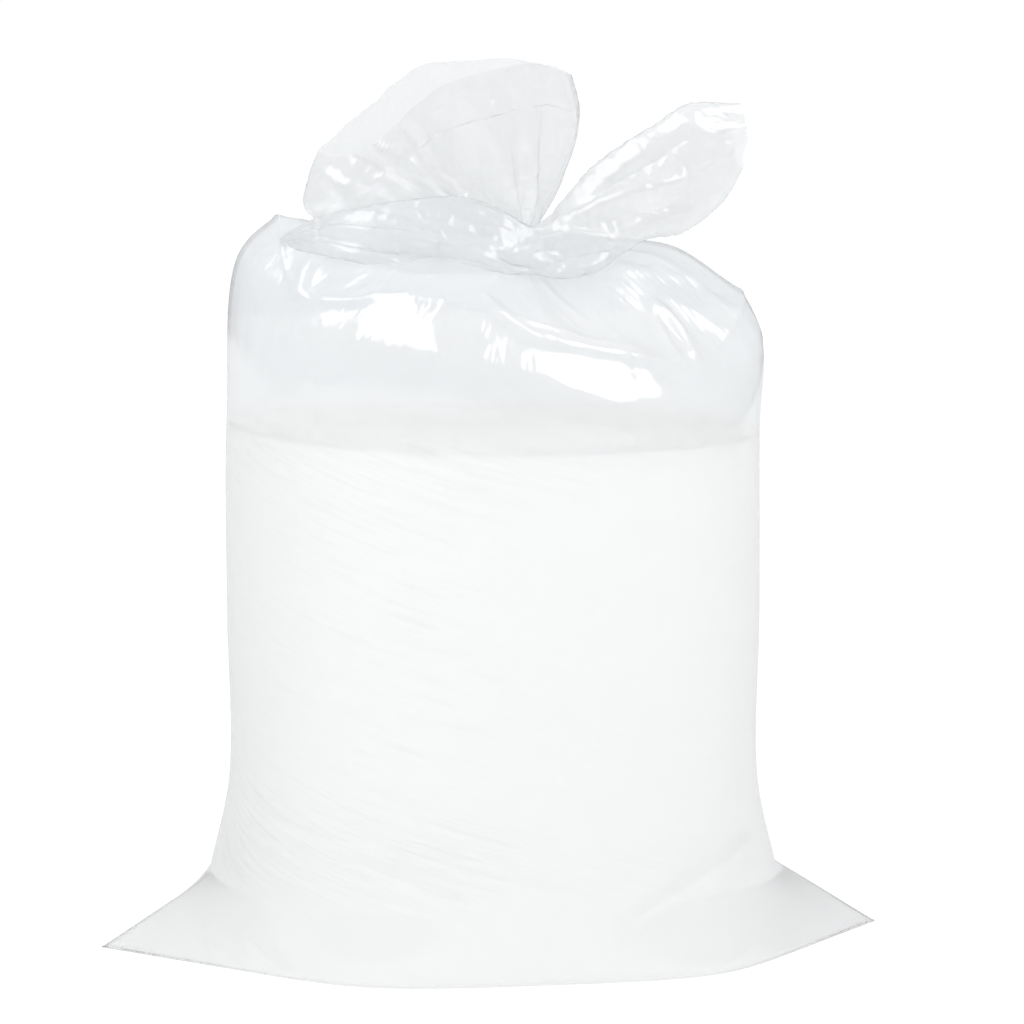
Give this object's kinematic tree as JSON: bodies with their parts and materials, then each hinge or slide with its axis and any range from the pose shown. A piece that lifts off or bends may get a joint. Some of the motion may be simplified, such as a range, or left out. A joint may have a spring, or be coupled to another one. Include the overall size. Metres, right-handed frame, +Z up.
{
  "type": "bag of polystyrene beads",
  "caption": "Milky film bag of loose white polystyrene beads, sealed flat at the bottom and tied shut by its own gathered top with loose ears.",
  "frame": {"origin": "on the floor, under the middle of the bag", "axes": "+Z up, X along the bottom seal from corner tip to corner tip, -Y out of the front face"},
  "size_m": [0.792, 0.4931, 0.8835],
  "materials": {
    "milky_film": "glossy milky polyethylene film, about 0.1 mm thick",
    "polystyrene_beads": "matt white expanded beads"
  },
  "bodies": {
    "root": {"bag_film": "milky_film", "bead_fill": "polystyrene_beads"}
  },
  "joints": []
}
